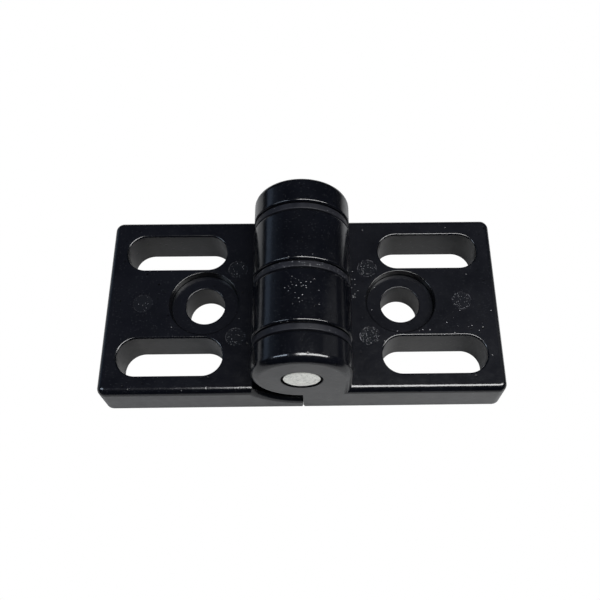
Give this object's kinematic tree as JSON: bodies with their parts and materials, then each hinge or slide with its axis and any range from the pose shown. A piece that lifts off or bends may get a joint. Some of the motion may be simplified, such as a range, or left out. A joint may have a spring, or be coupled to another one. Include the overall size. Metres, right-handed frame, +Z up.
{
  "type": "profile hinge",
  "caption": "Heavy black cast butt hinge for slotted aluminium profile, with interleaved knuckles on a steel pin, slotted screw holes and a counterbored middle hole.",
  "frame": {"origin": "on the seating plane, straight below the middle of the pin", "axes": "+X across the hinge from the left leaf to the right leaf, +Y along the pin from front to rear, +Z up out of the seating plane"},
  "size_m": [0.09, 0.044, 0.0277],
  "materials": {
    "casting": "semi-gloss black coat on a die casting",
    "pin_steel": "bright satin, faced end",
    "washer_polymer": "matt dark grey"
  },
  "bodies": {
    "frame_side": {"leaf_right": "casting", "hinge_pin": "pin_steel", "thrust_washer_front": "washer_polymer", "thrust_washer_middle": "washer_polymer", "thrust_washer_rear": "washer_polymer"},
    "door_side": {"leaf_left": "casting"}
  },
  "joints": [
    {"name": "leaf_swing", "type": "hinge", "parent": "frame_side", "child": "door_side", "pos_m": [0, 0, 0.0169], "axis": [0, 1, 0], "range_deg": [0, 180]}
  ]
}
